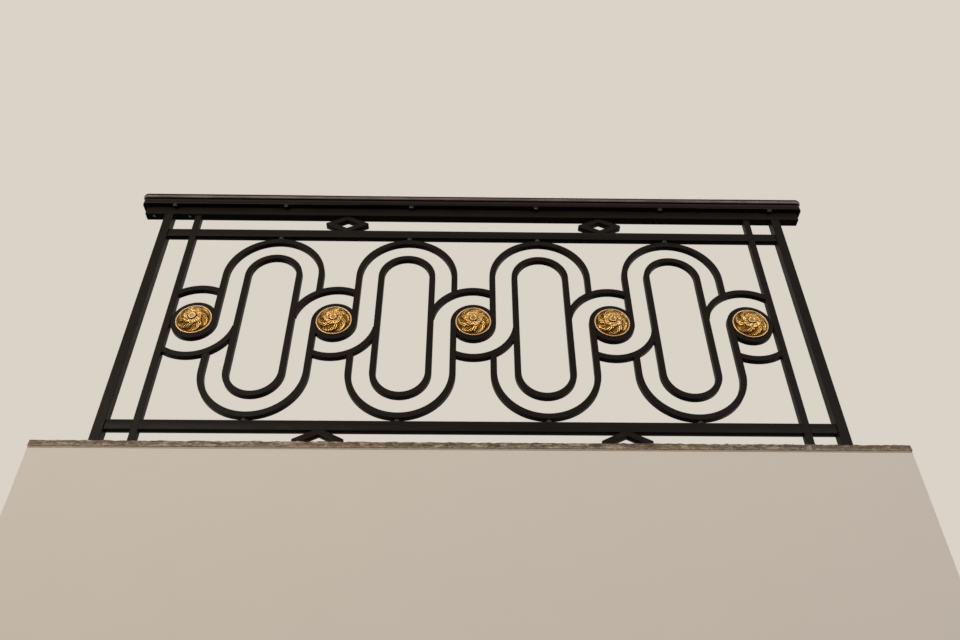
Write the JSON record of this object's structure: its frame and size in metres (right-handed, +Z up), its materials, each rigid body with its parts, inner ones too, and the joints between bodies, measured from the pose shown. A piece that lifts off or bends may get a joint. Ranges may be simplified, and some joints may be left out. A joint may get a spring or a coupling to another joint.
{
  "type": "juliet balcony",
  "caption": "Wrought iron window balcony on a thin marble sill: round ended loops between two rails, scrolls that ring gilded rosettes, lozenges above and below, moulded handrail.",
  "frame": {"origin": "middle of the sill's underside, where it is bedded on the wall", "axes": "+X along the opening to the right as seen from outside, +Y into the building, +Z up"},
  "size_m": [2.48, 0.135, 1.0818],
  "materials": {
    "iron": "satin",
    "handrail_wood": "gloss",
    "gilt": "satin",
    "marble": "matte"
  },
  "bodies": {
    "root": {"sill": "marble", "outer_post_left": "iron", "outer_post_right": "iron", "inner_post_left": "iron", "inner_post_right": "iron", "top_rail": "iron", "bottom_rail": "iron", "handrail_bar": "iron", "handrail_cap": "handrail_wood", "loop_1": "iron", "loop_2": "iron", "loop_3": "iron", "loop_4": "iron", "top_scroll_1": "iron", "top_scroll_2": "iron", "top_scroll_3": "iron", "top_scroll_4": "iron", "bottom_scroll_1": "iron", "bottom_scroll_2": "iron", "bottom_scroll_3": "iron", "bottom_scroll_4": "iron", "over_arc_1": "iron", "over_arc_2": "iron", "over_arc_3": "iron", "over_arc_4": "iron", "over_arc_5": "iron", "under_arc_1": "iron", "under_arc_2": "iron", "under_arc_3": "iron", "under_arc_4": "iron", "under_arc_5": "iron", "end_ring_left": "iron", "end_ring_right": "iron", "rosette_1": "gilt", "rosette_2": "gilt", "rosette_3": "gilt", "rosette_4": "gilt", "rosette_5": "gilt", "upper_lozenge_left": "iron", "upper_lozenge_right": "iron", "lower_lozenge_left": "iron", "lower_lozenge_right": "iron", "top_collars": "iron", "bottom_collars": "iron"}
  },
  "joints": []
}
